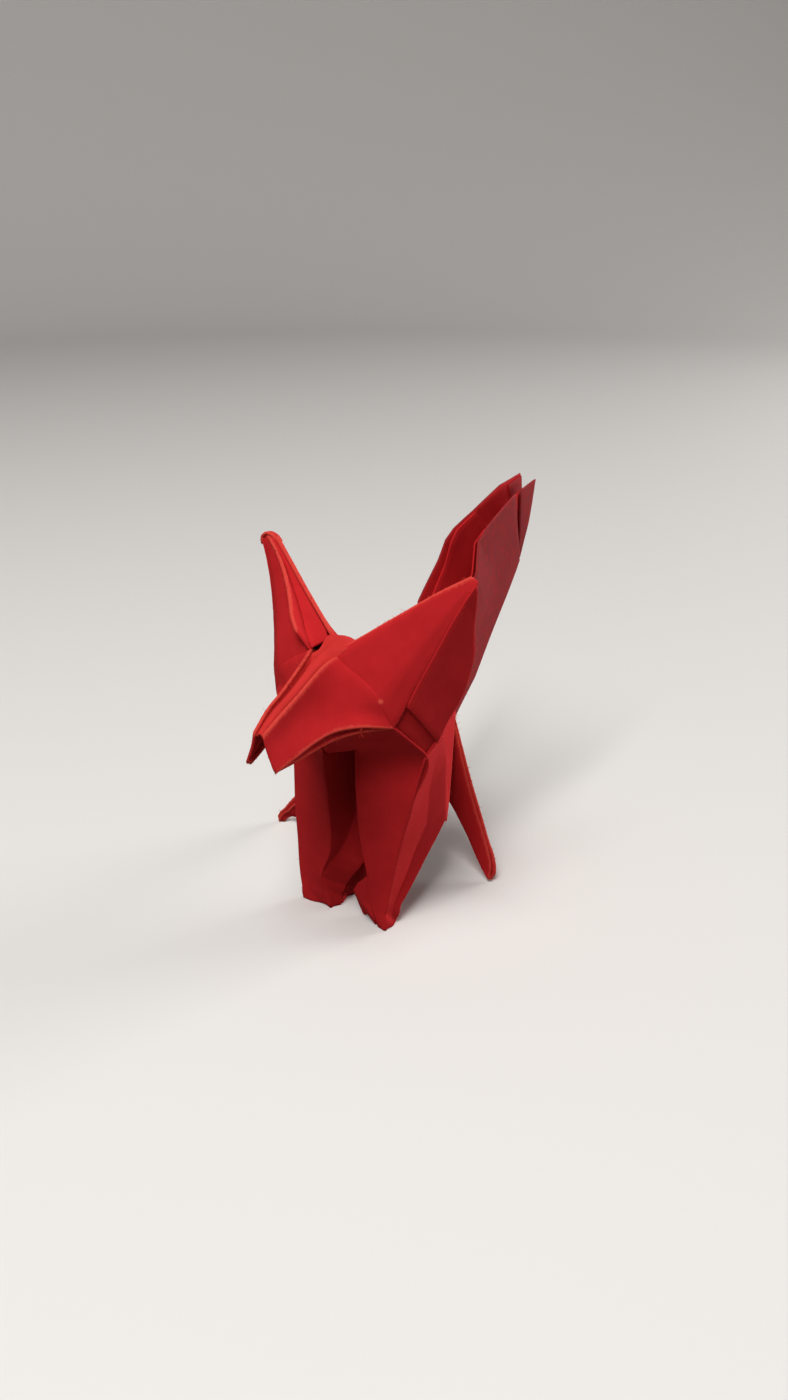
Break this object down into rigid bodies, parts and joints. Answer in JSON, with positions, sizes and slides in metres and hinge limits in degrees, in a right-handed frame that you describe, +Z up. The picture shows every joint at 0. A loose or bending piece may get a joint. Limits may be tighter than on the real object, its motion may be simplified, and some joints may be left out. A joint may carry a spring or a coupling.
{
  "type": "origami fox",
  "caption": "Small standing fox folded from a square of red paper, with a pointed snout, open cone ears, splayed legs and an upright leaf-shaped tail.",
  "frame": {"origin": "on the table, under the centre of the folded fox's bounding box", "axes": "+Z up, -Y where the snout points, +X the fox's left side"},
  "size_m": [0.0298, 0.046, 0.0387],
  "materials": {
    "paper": "uncoated matte red, the same on both faces"
  },
  "bodies": {
    "root": {"folded_sheet": "paper"}
  },
  "joints": []
}
